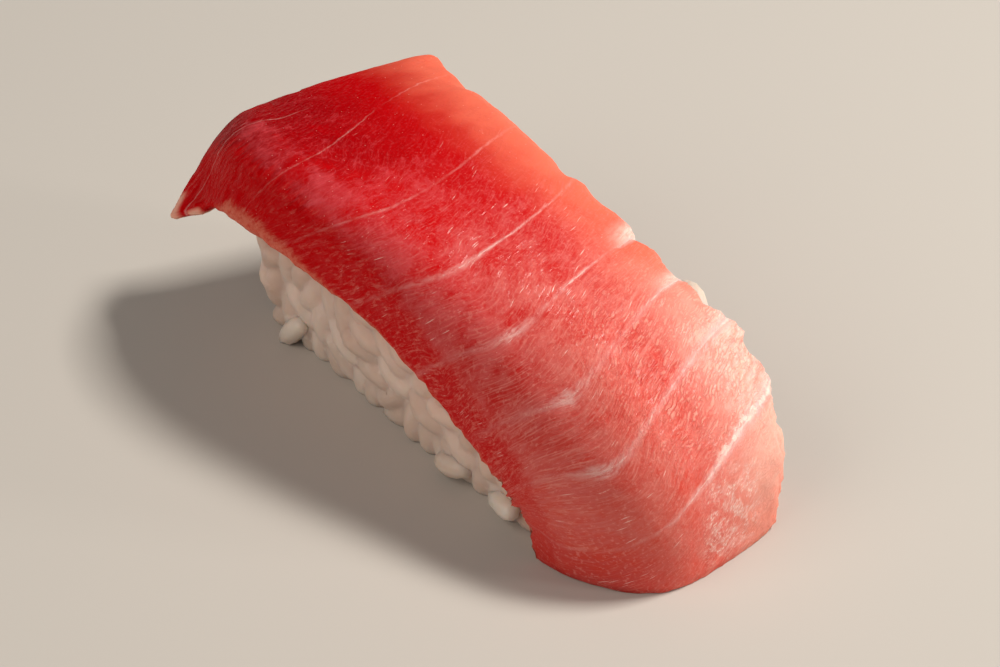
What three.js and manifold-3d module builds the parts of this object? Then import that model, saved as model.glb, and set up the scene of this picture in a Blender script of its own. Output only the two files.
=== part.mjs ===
// Tuna nigiri: one thick slice of tuna draped over a pressed bed of sushi rice.
// Millimetres, +Z up. The origin is on the board, under the middle of the piece.
// +X runs along the slice towards the end that folds down to the board; the other end hangs free of the rice.
// -Y is the near side, where the slice stops short of the board and the rice shows.
import * as THREE from "three";
import { mergeVertices } from "three/addons/utils/BufferGeometryUtils.js";
import Module from "manifold-3d";

const wasm = await Module();
wasm.setup();

const { smoothstep, lerp, clamp } = THREE.MathUtils;
const degrees = Math.PI / 180;

// ---------- driving dimensions ----------
// The slice as cut, a flat block: s runs along it from the free end, y across it, depth down from its top.
const SLICE = {
  length: 84,
  halfWidth: 12.6,
  thickness: 9.8,
  endRadius: 1.2,
  nearTopRadius: 4,
  farTopRadius: 2.2,
  bottomRadius: 1.3,
  segments: [44, 14, 4], // along, across and down
};

// Cross-sections of the draped slice at stations along it. near and far are how far its two long edges lie
// from the crest line, nearSag and farSag how far they hang below it, thick the thickness, and nearLean how
// much further out the near side is at its foot than at its top.
const STATIONS = [
  { s: 0, near: 8.0, far: 14.6, nearSag: 0.7, farSag: 0.4, thick: 7.9, nearLean: 7.0 },
  { s: 16, near: 12.7, far: 13.7, nearSag: -0.9, farSag: 1.8, thick: 8.6, nearLean: 3.7 },
  { s: 34, near: 12.3, far: 13.3, nearSag: 1.1, farSag: 2.5, thick: 9.5, nearLean: 1.3 },
  { s: 50, near: 11.1, far: 14.4, nearSag: 5.7, farSag: 3.3, thick: 8.3, nearLean: 1.5 },
  { s: 66, near: 11.0, far: 13.9, nearSag: 8.4, farSag: 1.3, thick: 6.1, nearLean: 1.5 },
  { s: 84, near: 9.7, far: 12.0, nearSag: 7.6, farSag: 0.7, thick: 5.6, nearLean: 1.2 },
];
const farLean = 1.2; // how much further out the far side is at its foot than at its top
const sagPower = 2.3;
const skew = 6; // the free end is cut at a slant, with the near side longer
const skewFade = 26;

// The crest line, which the middle of the top face follows from the free end to the board.
const CREST = {
  startX: -35.2,
  startZ: 24.0,
  droop: 21.4, // degrees that the free end hangs down
  droopFade: 7.1, // mm over which that dies out
  fallPerMm: 0.466, // degrees for each mm of slice
  levelAt: 18, // mm along the slice where it is level
  fold: 60.8, // degrees of the turn down the rice's end
  foldFrom: 52,
  foldTo: 81,
};

// The free end's near corner is drawn out into a drooping tip.
const TIP = { along: -1.8, out: -2.6, down: -1.7, spreadS: 1.6, spreadY: 2.4, spreadDepth: 3.2 };

// Sheets of sinew meet the far edge here. The flesh bulges before each one and is nicked at it.
const NICKS = [
  { s: 32.7, depth: 0.5 },
  { s: 43, depth: 1.2 },
  { s: 54, depth: 0.5 },
  { s: 61, depth: 0.7 },
  { s: 65.8, depth: 0.6 },
];
const nickHalfWidth = 1.6;
const bulge = { height: 0.3, length: 4 };
const raggedFrom = 0.7; // share of the half width beyond which the far edge is ragged

// The bed of rice, as an oblong plan that narrows to its folded end. Its sides tuck in at the board.
const BED = {
  freeEnd: -32.2,
  foldedEnd: 27,
  halfWidth: 10.6,
  foldedHalfWidth: 10,
  narrowsFrom: 2,
  cornerRadius: 5,
  height: 22, // before the slice's hollow is cut from it
  widestAt: 8,
  endUndercut: 4.4,
  sideUndercut: 1.0,
  sliceGap: 0.3,
  segments: [44, 7], // round and up
};

// Cooked grains show all round the bed, half sunk in it.
const GRAIN = {
  length: 6.2,
  width: 2.8,
  smallest: 0.9, // times those sizes
  unevenness: 0.2,
  bluntness: 0.45, // how much fuller its ends are than an ellipsoid's
  segments: [5, 4], // round and along
  clearance: 3.0, // between the middles of two grains
  sink: 1.45, // of a grain's middle in the bed's side
  lowest: 0.6,
  spread: 17, // of the middles, above the lowest
  turn: 2.2, // radians between the grains turned most either way in the side's plane
  tilt: 0.8, // and out of it
  mostlyHidden: 0.45, // share of a grain inside the slice from which it is left out
  tries: 4000,
  seed: 11,
};

// ---------- helpers ----------
function seeded(seed) {
  let state = seed >>> 0;
  return () => {
    state = (state + 0x6d2b79f5) >>> 0;
    let t = Math.imul(state ^ (state >>> 15), 1 | state);
    t = (t + Math.imul(t ^ (t >>> 7), 61 | t)) ^ t;
    return ((t ^ (t >>> 14)) >>> 0) / 4294967296;
  };
}

// A three.js shape with its seams closed, so that it stays one skin however its points are moved.
function welded(geometry) {
  geometry.deleteAttribute("normal");
  geometry.deleteAttribute("uv");
  return mergeVertices(geometry, 1e-4);
}

// A welded geometry as a manifold solid, and back.
function solidOf(geometry) {
  return new wasm.Manifold(
    new wasm.Mesh({
      numProp: 3,
      vertProperties: new Float32Array(geometry.attributes.position.array),
      triVerts: new Uint32Array(geometry.index.array),
    }),
  );
}

function geometryOf(solid) {
  const mesh = solid.getMesh();
  const geometry = new THREE.BufferGeometry();
  geometry.setAttribute("position", new THREE.BufferAttribute(mesh.vertProperties, 3));
  geometry.setIndex(new THREE.BufferAttribute(mesh.triVerts, 1));
  return geometry;
}

// ---------- the slice of tuna ----------
// The cross-section's sizes at any s, by a smooth curve through the stations.
const sizes = ["near", "far", "nearSag", "farSag", "thick", "nearLean"];
const sectionCurve = new THREE.CubicInterpolant(
  Float32Array.from(STATIONS, (station) => station.s),
  Float32Array.from(STATIONS.flatMap((station) => sizes.map((size) => station[size]))),
  sizes.length,
);

function section(s) {
  const [near, far, nearSag, farSag, thick, nearLean] = sectionCurve.evaluate(clamp(s, 0, SLICE.length));
  return { near, far, nearSag, farSag, thick, nearLean };
}

function slope(s) {
  const droop = CREST.droop * Math.exp(-Math.max(s, 0) / CREST.droopFade);
  const fall = CREST.fallPerMm * (s - CREST.levelAt);
  const fold = CREST.fold * smoothstep(s, CREST.foldFrom, CREST.foldTo);
  return (droop - fall - fold) * degrees;
}

// The crest line, walked in small steps both ways from the free end.
const step = 0.25;
const firstS = -8;
const lastS = 88;

function walk(from, to) {
  const places = [];
  const stride = Math.sign(to - from) * step;
  let x = CREST.startX;
  let z = CREST.startZ;
  for (let n = 0; n < Math.abs(to - from) / step; n++) {
    const angle = slope(from + (n + 0.5) * stride);
    x += stride * Math.cos(angle);
    z += stride * Math.sin(angle);
    places.push({ x, z });
  }
  return places;
}
const crestPlaces = [
  ...walk(0, firstS).reverse(),
  { x: CREST.startX, z: CREST.startZ },
  ...walk(0, lastS),
];

function crest(s) {
  const f = clamp((s - firstS) / step, 0, crestPlaces.length - 1.001);
  const i = Math.floor(f);
  const [a, b] = [crestPlaces[i], crestPlaces[i + 1]];
  return { x: lerp(a.x, b.x, f - i), z: lerp(a.z, b.z, f - i), angle: slope(s) };
}

// How far the far edge stands out: it swells before each nick and drops in at it.
function raggedness(s) {
  let out = 0;
  for (const nick of NICKS) {
    out -= nick.depth * Math.max(0, 1 - Math.abs(s - nick.s) / nickHalfWidth);
    const before = (nick.s - nickHalfWidth - s) / bulge.length;
    if (before > 0 && before < 1) out += bulge.height * Math.sin(before * Math.PI);
  }
  return out;
}

// Where a point of the flat slice lies once it is draped: side runs from -1 to 1 across it, and share from 0
// at the top face to 1 at the bottom one.
function drape(flatS, side, share) {
  const s = flatS + skew * side * (1 - smoothstep(flatS, 0, skewFade));
  const { near, far, nearSag, farSag, thick, nearLean } = section(flatS);
  const line = crest(s);
  const across = Math.abs(side);
  const isNear = side < 0;
  const inward = (isNear ? nearSag : farSag) * across ** sagPower + share * thick;
  const out = across * (isNear ? near + nearLean * share : far + farLean * share);
  const place = new THREE.Vector3(
    line.x + Math.sin(line.angle) * inward,
    isNear ? -out : out + raggedness(s) * smoothstep(side, raggedFrom, 1),
    line.z - Math.cos(line.angle) * inward,
  );
  const fromTip = new THREE.Vector3(
    (s + skew) / TIP.spreadS,
    ((side + 1) * SLICE.halfWidth) / TIP.spreadY,
    ((share - 1) * thick) / TIP.spreadDepth,
  );
  const pull = Math.exp(-0.5 * fromTip.lengthSq());
  place.add(new THREE.Vector3(TIP.along, TIP.out, TIP.down).multiplyScalar(pull));
  place.z = Math.max(place.z, 0);
  return place;
}

// The radius of the slice's long edges, which is largest where the knife left the top near one soft.
function edgeRadius(y, up) {
  if (up < 0) return SLICE.bottomRadius;
  return y < 0 ? SLICE.nearTopRadius : SLICE.farTopRadius;
}

// A box with rounded edges in flat coordinates, draped. grow makes it larger all round.
function slice(grow = 0) {
  const { length, halfWidth, thickness, endRadius } = SLICE;
  const box = welded(new THREE.BoxGeometry(length, 2 * halfWidth, thickness, ...SLICE.segments));
  const half = new THREE.Vector3(length / 2, halfWidth, thickness / 2);
  const place = box.attributes.position;
  const p = new THREE.Vector3();
  for (let i = 0; i < place.count; i++) {
    p.fromBufferAttribute(place, i);
    const corner = edgeRadius(p.y, p.z);
    const radii = new THREE.Vector3(endRadius, corner, corner);
    const inner = half.clone().sub(radii);
    const core = p.clone().clamp(inner.clone().negate(), inner);
    p.sub(core).divide(radii).normalize().multiply(radii.addScalar(grow)).add(core);
    place.setXYZ(i, ...drape(p.x + length / 2, p.y / halfWidth, 0.5 - p.z / thickness));
  }
  return box;
}

// ---------- the bed of rice ----------
function bedPlan() {
  const { freeEnd, foldedEnd, halfWidth, foldedHalfWidth, narrowsFrom, cornerRadius } = BED;
  const middle = (foldedEnd + narrowsFrom) / 2;
  const plan = new THREE.Path();
  plan.moveTo(foldedEnd, 0);
  plan.bezierCurveTo(foldedEnd, foldedHalfWidth, middle, halfWidth, narrowsFrom, halfWidth);
  plan.lineTo(freeEnd + cornerRadius, halfWidth);
  plan.quadraticCurveTo(freeEnd, halfWidth, freeEnd, halfWidth - cornerRadius);
  plan.lineTo(freeEnd, cornerRadius - halfWidth);
  plan.quadraticCurveTo(freeEnd, -halfWidth, freeEnd + cornerRadius, -halfWidth);
  plan.lineTo(narrowsFrom, -halfWidth);
  plan.bezierCurveTo(middle, -halfWidth, foldedEnd, -foldedHalfWidth, foldedEnd, 0);
  return plan;
}
const plan = bedPlan();

// A point on the bed's side and the way out from it: share goes round the plan, z is the height, and inset
// moves the point inwards.
function bedSide(share, z, inset) {
  const along = plan.getTangentAt(share);
  const outward = new THREE.Vector3(along.y, -along.x, 0);
  const tuck = Math.max(0, 1 - z / BED.widestAt) ** 2;
  const undercut = lerp(BED.sideUndercut, BED.endUndercut, Math.max(0, -outward.x)) * tuck;
  const { x, y } = plan.getPointAt(share);
  return { place: new THREE.Vector3(x, y, z).addScaledVector(outward, -inset - undercut), outward };
}

function bedCore() {
  const core = welded(new THREE.CylinderGeometry(1, 1, BED.height, ...BED.segments));
  core.rotateX(Math.PI / 2);
  const middle = (BED.foldedEnd + BED.freeEnd) / 2;
  const place = core.attributes.position;
  for (let i = 0; i < place.count; i++) {
    const z = place.getZ(i) + BED.height / 2;
    const reach = Math.hypot(place.getX(i), place.getY(i));
    const turn = Math.atan2(place.getY(i), place.getX(i)) / (2 * Math.PI);
    const side = bedSide(turn - Math.floor(turn), z, GRAIN.width / 2).place;
    place.setXYZ(i, lerp(middle, side.x, reach), side.y * reach, z);
  }
  return core;
}

// One cooked grain with few sides, lying along Y: an ellipsoid made blunter towards its ends.
function grain(random) {
  const size = () => GRAIN.smallest + GRAIN.unevenness * random();
  const shape = welded(new THREE.SphereGeometry(0.5, ...GRAIN.segments));
  const place = shape.attributes.position;
  const atPole = 1e-3;
  for (let i = 0; i < place.count; i++) {
    const radius = 2 * Math.hypot(place.getX(i), place.getZ(i));
    const fuller = Math.max(radius, atPole) ** -GRAIN.bluntness;
    place.setXYZ(i, place.getX(i) * fuller, place.getY(i), place.getZ(i) * fuller);
  }
  return shape.scale(GRAIN.width * size(), GRAIN.length * size(), GRAIN.width * size());
}

// Grains scattered evenly over the bed's sides: each keeps clear of those before it, and is turned at random.
function grains() {
  const random = seeded(GRAIN.seed);
  const centres = [];
  const placed = [];
  const up = new THREE.Vector3(0, 0, 1);
  for (let n = 0; n < GRAIN.tries; n++) {
    const { place, outward } = bedSide(random(), GRAIN.lowest + GRAIN.spread * random(), GRAIN.sink);
    if (centres.some((centre) => centre.distanceTo(place) < GRAIN.clearance)) continue;
    centres.push(place);
    const basis = new THREE.Matrix4().makeBasis(outward, up.clone().cross(outward), up);
    const turned = new THREE.Matrix4().makeRotationX((random() - 0.5) * GRAIN.turn);
    const tilted = new THREE.Matrix4().makeRotationZ((random() - 0.5) * GRAIN.tilt);
    const shape = grain(random).applyMatrix4(basis.multiply(turned).multiply(tilted));
    placed.push(shape.translate(place.x, place.y, place.z));
  }
  return placed;
}

function bed() {
  const hollow = solidOf(slice(BED.sliceGap));
  const room = 100; // larger than the bed every way
  const aboveBoard = solidOf(welded(new THREE.BoxGeometry(room, room, room).translate(0, 0, room / 2)));
  let rice = solidOf(bedCore());
  for (const shape of grains()) {
    const one = solidOf(shape);
    if (one.intersect(hollow).volume() > GRAIN.mostlyHidden * one.volume()) continue;
    rice = rice.add(one);
  }
  rice = rice.intersect(aboveBoard).subtract(hollow);
  const bodies = rice.decompose().sort((a, b) => b.volume() - a.volume());
  return geometryOf(bodies[0]);
}

// ---------- the piece ----------
const TUNA = new THREE.MeshStandardMaterial({ color: 0xd5544c, roughness: 0.35, metalness: 0 });
const RICE = new THREE.MeshStandardMaterial({ color: 0xede6da, roughness: 0.4, metalness: 0 });

function part(name, geometry, material) {
  const mesh = new THREE.Mesh(geometry, material);
  mesh.name = name;
  return mesh;
}

const nigiri = new THREE.Group();
nigiri.add(part("tuna_slice", slice(), TUNA));
nigiri.add(part("rice_bed", bed(), RICE));
export default nigiri;
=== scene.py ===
"""A tuna nigiri: a thick slice of marbled tuna draped over a pressed bed of rice.

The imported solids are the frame. Sizes that shape a surface are in millimetres, and turn to metres where a mesh is
written. +X runs along the slice to the end that folds down, and -Y is the side where the rice shows most.
"""

from functools import partial

import bpy
import numpy as np
from bpy.props import FloatProperty, FloatVectorProperty, IntProperty, PointerProperty
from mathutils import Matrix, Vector, kdtree, noise


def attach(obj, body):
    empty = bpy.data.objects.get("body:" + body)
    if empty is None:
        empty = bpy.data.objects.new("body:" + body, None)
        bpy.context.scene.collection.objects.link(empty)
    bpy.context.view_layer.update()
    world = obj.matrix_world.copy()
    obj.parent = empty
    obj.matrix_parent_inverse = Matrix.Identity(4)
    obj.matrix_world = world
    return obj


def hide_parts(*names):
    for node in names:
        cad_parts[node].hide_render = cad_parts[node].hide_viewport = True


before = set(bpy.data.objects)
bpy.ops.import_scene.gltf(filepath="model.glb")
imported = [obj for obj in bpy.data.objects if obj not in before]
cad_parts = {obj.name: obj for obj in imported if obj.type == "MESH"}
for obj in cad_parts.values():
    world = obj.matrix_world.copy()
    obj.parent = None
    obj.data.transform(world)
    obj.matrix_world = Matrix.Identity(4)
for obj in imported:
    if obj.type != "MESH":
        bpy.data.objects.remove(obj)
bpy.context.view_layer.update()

bl_info = {
    "name": "Tuna Nigiri",
    "version": (1, 0, 0),
    "blender": (4, 5, 0),
    "location": "3D View > Sidebar > Nigiri",
    "description": "Builds a piece of tuna nigiri with its rice, its flesh pattern and its studio",
    "category": "Object",
}

MM = 0.001

# ---------- the slice of tuna ----------
# Cross-sections along the slice: s is the place along it, near and far how far its long edges lie from the crest
# line, near_sag and far_sag how far they hang below it, thick the thickness, and near_lean how much further out
# the near side is at its foot than at its top.
STATION_S = (0, 16, 34, 50, 66, 84)
STATIONS = {
    "near": (8.0, 12.7, 12.3, 11.1, 11.0, 9.7),
    "far": (14.6, 13.7, 13.3, 14.4, 13.9, 12.0),
    "near_sag": (0.7, -0.9, 1.1, 5.7, 8.4, 7.6),
    "far_sag": (0.4, 1.8, 2.5, 3.3, 1.3, 0.7),
    "thick": (7.9, 8.6, 9.5, 8.3, 6.1, 5.6),
    "near_lean": (7.0, 3.7, 1.3, 1.5, 1.5, 1.2),
}
FAR_LEAN = 1.2
SAG_POWER = 2.3
SKEW = 6  # how far the free end slants
SKEW_FADE = 26

# The crest line in side view: where it starts, and in degrees how it rises from there, falls steadily past
# LEVEL_AT and folds down.
CREST_START = (-35.2, 24.0)
DROOP = 21.4
DROOP_FADE = 7.1
FALL_PER_MM = 0.466
LEVEL_AT = 18
FOLD = 60.8
FOLD_FROM = 52
FOLD_TO = 81

# How far the tip is drawn out, and how far round it that reaches.
TIP = np.array([-1.8, -2.6, -1.7])
TIP_SPREAD = np.array([1.6, 2.4, 3.2])

# Nicks in the far edge: the place along it and the depth. The edge swells before each.
NICKS = ((32.7, 0.5), (43, 1.2), (54, 0.5), (61, 0.7), (65.8, 0.6))
NICK_HALF_WIDTH = 1.6
BULGE_HEIGHT = 0.3
BULGE_LENGTH = 4

# Radii of the edges of the slice as cut. The far top one gets sharper over the last millimetres to the free end.
UNDER_CORNER = 1.3
NEAR_CORNER = 4.0
FAR_CORNER = 2.2
FAR_CORNER_FREE = 0.8
FAR_CORNER_FADE = np.array([9, 1])
END_CORNER = 1.2

# Low relief. Lumps have a height, a size and a shift that tells them from others: those of the whole slice, those
# of its torn edges and those of the fold. Crinkles are lumps drawn along the fibres, higher where the flesh is fat.
SOFT_LUMPS = ((0.1, 6.0, 0), (0.06, 1.6, 50))
TORN_LUMPS = ((0.3, 1.9, 20), (0.42, 0.6, 80))
BEADS = (0.1, 0.8, 140)
CRINKLE_SIZE = 0.75
CRINKLE_HEIGHT = 0.03
CRINKLE_HEIGHT_MORE = 0.16
CRINKLE_STRETCH = 3
GROOVE_LEAST_REACH = 0.28
CREASE_DEPTH = 0.55
CREASE_REACH = 0.3
# Small peaks: the middle in the flat slice, the reach each way and the height.
SMALL_PEAKS = (
    ((3.0, -12.0, 9.2), (0.7, 1.2, 0.8), 0.8),
    ((0.0, 10.8, 0.0), (1.5, 1.4, 1.6), 0.25),
)
# The far edge draws in by the free end, and has its own swells and hollows: the place along it, how far it stands
# out there and how long it is.
DRAWN_IN = 0.45
FAR_EDGE_SWELLS = (
    (9.0, -0.22, 1.8),
    (2.5, -0.3, 2.0),
    (20.0, 0.27, 6.0),
    (30.0, -0.4, 1.6),
    (33.6, 0.5, 1.3),
    (42.4, 0.4, 1.4),
    (47.8, -0.5, 2.2),
    (57.8, 0.3, 2.0),
    (62.5, -0.35, 1.4),
    (65.6, 0.5, 1.2),
    (69.5, -0.4, 2.5),
)

# Sheets of sinew that cross the slice, one to a row: the place along the slice where each meets the top face at
# these places across, from the near edge to the far one, then how plain it is there and how wide. Last, how far
# each leans back for each millimetre down.
ACROSS = (-12.6, -8, -3, 2, 7, 12.6)
SINEW_S = (
    (7.4, 9.1, 8.0, 6.0, 3.4, 0.5),
    (17.8, 17.0, 14.9, 12.0, 8.7, 5.0),
    (26.6, 27.5, 27.5, 26.6, 24.8, 22.6),
    (36.6, 38.0, 37.9, 37.2, 35.6, 33.0),
    (45.2, 47.3, 46.9, 45.7, 44.4, 43.2),
    (53.3, 56.2, 55.3, 53.6, 51.4, 49.6),
    (63.2, 65.6, 63.2, 61.0, 58.8, 56.8),
    (79.4, 76.2, 73.6, 71.0, 68.3, 66.2),
)
SINEW_PLAIN = (
    (0.3, 0.25, 0, 0, 0, 0),
    (0.1, 0.2, 0.3, 0.0, 0.24, 0.02),
    (0.12, 0.3, 0.06, 0.2, 0.22, 0.02),
    (0.12, 0.35, 0.65, 0.55, 0.25, 0.1),
    (0.15, 0.5, 0.2, 0.75, 0.05, 1),
    (0.12, 0.5, 0.25, 0.15, 0.5, 0.9),
    (0.1, 0.6, 0.3, 0.5, 0.6, 0.9),
    (0.1, 0.12, 0.4, 0.75, 1, 1),
)
SINEW_WIDE = (
    (0.2, 0.2, 0.2, 0.2, 0.2, 0.2),
    (0.15, 0.15, 0.2, 0.15, 0.25, 0.3),
    (0.3, 0.3, 0.2, 0.2, 0.25, 0.3),
    (0.6, 0.8, 0.35, 0.25, 0.25, 0.5),
    (0.7, 1.0, 0.6, 0.4, 0.3, 1.1),
    (0.9, 1.3, 1.2, 0.9, 0.8, 0.9),
    (0.9, 1.3, 0.9, 0.8, 1.2, 1.4),
    (0.4, 0.4, 0.6, 0.9, 1.4, 1.6),
)
SINEW_BACK = (0.6, 0.5, 0.85, 0.8, 0.55, 0.4, 0.3, 0.3)
LAST_SINEW = len(SINEW_S) - 1
SINEW_PITCH = 10.0
CREASED = 4  # the sheet that opens into a crease at the far edge
FIBRE_SLANT = 0.22
FIBRE_STRETCH = 1.8  # how much longer the faces are across the slice, the way the fibres run

# ---------- the bed of rice ----------
BED_FREE_END = -32.2
BED_FOLDED_END = 27
BED_HALF_WIDTH = 10.6
BED_FOLDED_HALF_WIDTH = 10
BED_NARROWS_FROM = 2
BED_CORNER = 5
BED_HEIGHT = 22
BED_WIDEST_AT = 8
BED_END_UNDERCUT = 4.4
BED_SIDE_UNDERCUT = 1.0

# The grains lie in layers, each that many grain widths deep, over these heights, and are pushed apart as if they
# were that much narrower. Each varies a little in size, is somewhat flat and blunt, leans in or out and is bent.
GRAIN_LAYERS = (0.62, 1.25)
GRAIN_HEIGHTS = (1.0, 19.0)
GRAIN_PACKING = 0.86
GRAIN_SIZES = (0.9, 1.08)
GRAIN_FLATNESS = 0.92
GRAIN_BLUNTNESS = 0.35
GRAIN_LEAN = 0.13
GRAIN_BENDS = (0.1, 0.6)

# Grains that stick out at the bed's foot: how far round the plan, how high, how deep set and how turned. Then a
# grain on the far side of the slice: its place along it and share of the depth, and how far out its middle lies.
LOOSE_GRAINS = ((90.4, 2.2, 0.0, 0.9), (118.4, 2.0, 0.4, 0.3), (126.6, 2.0, 0.2, 0.4))
FAR_GRAIN_AT = (52.4, 0.12)
FAR_GRAIN_OUT = -1.5

# The core behind the grains, and the skin of starch over both. It is low where the slice doesn't cover it.
CORE_INSET = 0.55  # in grain widths
CORE_GAP = 0.2
BARE_CORE_HEIGHT = 8
STARCH_PITCH = 0.36
STARCH_SMOOTHINGS = 14
STARCH_SWELL = 0.4
PAINTED_BOUNCE_REACH = 5.0  # how far the painted pink, standing in for red light bounced off the slice, reaches over the rice under it

# ---------- the stage ----------
AIR_TINT = "e9edf2"
AIR_STRENGTH = 0.14
# Each lamp's name, degrees round from +X and up, distance and size in metres, power in watts and tint.
LAMPS = (
    ("key_softbox", 66, 57, 0.6, 0.12, 3.6, "fff8f0"),
    ("side_softbox", 38, 7, 0.6, 0.08, 1.3, "fff6ee"),
    ("fill_softbox", -95, 42, 0.8, 0.6, 2.4, "fff0e2"),
)
AIM_HEIGHT = 12
CAMERA_AZIMUTH = 51 - 90  # from +X, like the lamps'
CAMERA_ELEVATION = 40
CAMERA_DISTANCE = 291
CAMERA_LENS = 100
CAMERA_SENSOR = 36


def linear(hex_colour):
    """An sRGB hex colour as linear red, green and blue."""
    shares = [int(hex_colour[i : i + 2], 16) / 255 for i in (0, 2, 4)]
    return [c / 12.92 if c <= 0.04045 else ((c + 0.055) / 1.055) ** 2.4 for c in shares]


def smooth(x, low, high):
    """0 below low, 1 above high, and a soft step between."""
    t = np.clip((x - low) / (high - low), 0, 1)
    return t * t * (3 - 2 * t)


def through(stops, values, at):
    """The smooth curve through values at the stops, read at at: the same curve as the solid's."""
    stops, values = np.array(stops, float), np.array(values, float)
    last = len(stops) - 2
    i = np.clip(np.searchsorted(stops, at, side="right") - 1, 0, last)
    p = (at - stops[i]) / (stops[i + 1] - stops[i])
    half = (stops[i + 1] - stops[i]) / 2
    before = np.where(i == 0, 1, i - 1)
    after = np.where(i == last, last, np.minimum(i + 2, last + 1))
    w0 = half / (stops[i] - stops[before])
    w1 = half / (stops[after] - stops[i + 1])
    return (
        (-w0 * p**3 + 2 * w0 * p**2 - w0 * p) * values[before]
        + ((1 + w0) * p**3 + (-1.5 - 2 * w0) * p**2 + (-0.5 + w0) * p + 1) * values[i]
        + ((-1 - w1) * p**3 + (1.5 + w1) * p**2 + 0.5 * p) * values[i + 1]
        + (w1 * p**3 - w1 * p**2) * values[after]
    )


def slope(s):
    """The crest line's slope, in radians."""
    droop = DROOP * np.exp(-np.maximum(s, 0) / DROOP_FADE)
    return np.radians(droop - FALL_PER_MM * (s - LEVEL_AT) - FOLD * smooth(s, FOLD_FROM, FOLD_TO))


def crest_line(step=0.25, first=-8, last=88):
    """Places along the crest line, walked in small steps both ways from the free end."""
    ahead = slope((np.arange(last / step) + 0.5) * step)
    behind = slope(-(np.arange(-first / step) + 0.5) * step)
    x = [-np.cumsum(np.cos(behind))[::-1], [0], np.cumsum(np.cos(ahead))]
    z = [-np.cumsum(np.sin(behind))[::-1], [0], np.cumsum(np.sin(ahead))]
    x, z = (np.concatenate(part) * step for part in (x, z))
    return first + step * np.arange(len(x)), CREST_START[0] + x, CREST_START[1] + z


CREST = crest_line()


def raggedness(s):
    """How far the far edge stands out: it swells before each nick and drops in at it."""
    out = np.zeros_like(s)
    for place, depth in NICKS:
        out -= depth * np.maximum(0, 1 - np.abs(s - place) / NICK_HALF_WIDTH)
        before = (place - NICK_HALF_WIDTH - s) / BULGE_LENGTH
        out += BULGE_HEIGHT * np.sin(np.clip(before, 0, 1) * np.pi)
    return out


def drape(flat, half_width):
    """Where points of the flat slice (along, across from -1 to 1, share of the depth) lie once it is draped."""
    along, side, share = flat.T
    s = along + SKEW * side * (1 - smooth(along, 0, SKEW_FADE))
    at = np.clip(along, 0, STATION_S[-1])
    size = {name: through(STATION_S, values, at) for name, values in STATIONS.items()}
    x, z, angle = np.interp(s, CREST[0], CREST[1]), np.interp(s, CREST[0], CREST[2]), slope(s)
    across = np.abs(side)
    near = side < 0
    inward = np.where(near, size["near_sag"], size["far_sag"]) * across**SAG_POWER + share * size["thick"]
    out_near = -across * (size["near"] + size["near_lean"] * share)
    out_far = across * (size["far"] + FAR_LEAN * share) + raggedness(s) * smooth(side, 0.7, 1)
    y = np.where(near, out_near, out_far)
    place = np.stack([x + np.sin(angle) * inward, y, z - np.cos(angle) * inward], 1)
    from_tip = np.stack([s + SKEW, (side + 1) * half_width, (share - 1) * size["thick"]], 1) / TIP_SPREAD
    place += TIP * np.exp(-0.5 * (from_tip**2).sum(1))[:, None]
    place[:, 2] = np.maximum(place[:, 2], 0)
    return place


def sinew_place(flat_mm):
    """Which sheet of sinew each point is near, as a running number, and how plain and wide that one is there."""
    along, across, depth = flat_mm.T
    lines = np.array([through(ACROSS, s, across) - back * depth for s, back in zip(SINEW_S, SINEW_BACK)])
    count = np.zeros(len(along))
    for k in range(LAST_SINEW):
        count += np.clip((along - lines[k]) / (lines[k + 1] - lines[k]), 0, 1)
    count += np.minimum(0, (along - lines[0]) / SINEW_PITCH) + np.maximum(0, (along - lines[-1]) / SINEW_PITCH)
    nearest = np.clip(np.rint(count), 0, LAST_SINEW).astype(int)
    plain, wide = (
        np.array([np.interp(across, ACROSS, row) for row in rows])[nearest, np.arange(len(along))]
        for rows in (SINEW_PLAIN, SINEW_WIDE)
    )
    return count, plain, wide


def lumps(points, height, size, shift=0):
    """Soft random relief at each point, up to that height each way, with lumps of that size."""
    return height * np.array([noise.noise(p) for p in ((points + shift) / size).tolist()])


# ---------- meshes ----------
def start_piece(name):
    """Names the object that an operator has just added and gives it back."""
    piece = bpy.context.object
    piece.name = piece.data.name = name
    return piece


def coordinates(mesh):
    """Where the vertices are, in metres."""
    flat = np.empty(3 * len(mesh.vertices), np.float32)
    mesh.vertices.foreach_get("co", flat)
    return flat.reshape(-1, 3).astype(float)


def place_vertices(mesh, points):
    """Moves the vertices to these points, in metres."""
    mesh.vertices.foreach_set("co", points.astype(np.float32).ravel())
    mesh.update()


def subdivide_along(piece, axis, cuts):
    """Cuts every edge that runs along an axis into equal parts, so that rings of faces form across it."""
    mesh = piece.data
    ends = np.empty(2 * len(mesh.edges), np.int32)
    mesh.edges.foreach_get("vertices", ends)
    ends = coordinates(mesh)[ends.reshape(-1, 2)]
    run = np.abs(ends[:, 1] - ends[:, 0])
    edit_chosen("EDGE", mesh.edges, run[:, axis] > run.sum(1) * 0.999)
    bpy.ops.mesh.subdivide(number_cuts=cuts)
    bpy.ops.object.mode_set(mode="OBJECT")


def edit_chosen(kind, elements, chosen):
    """Turns to edit mode with only the chosen edges or vertices of the active mesh selected."""
    bpy.ops.object.mode_set(mode="EDIT")
    bpy.ops.mesh.select_mode(type=kind)
    bpy.ops.mesh.select_all(action="DESELECT")
    bpy.ops.object.mode_set(mode="OBJECT")
    elements.foreach_set("select", chosen)
    bpy.ops.object.mode_set(mode="EDIT")


def give_attribute(mesh, name, values):
    """Gives each vertex a number, or a vector where values has rows."""
    kind, field = ("FLOAT_VECTOR", "vector") if values.ndim == 2 else ("FLOAT", "value")
    mesh.attributes.new(name, kind, "POINT").data.foreach_set(field, values.astype(np.float32).ravel())


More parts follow.
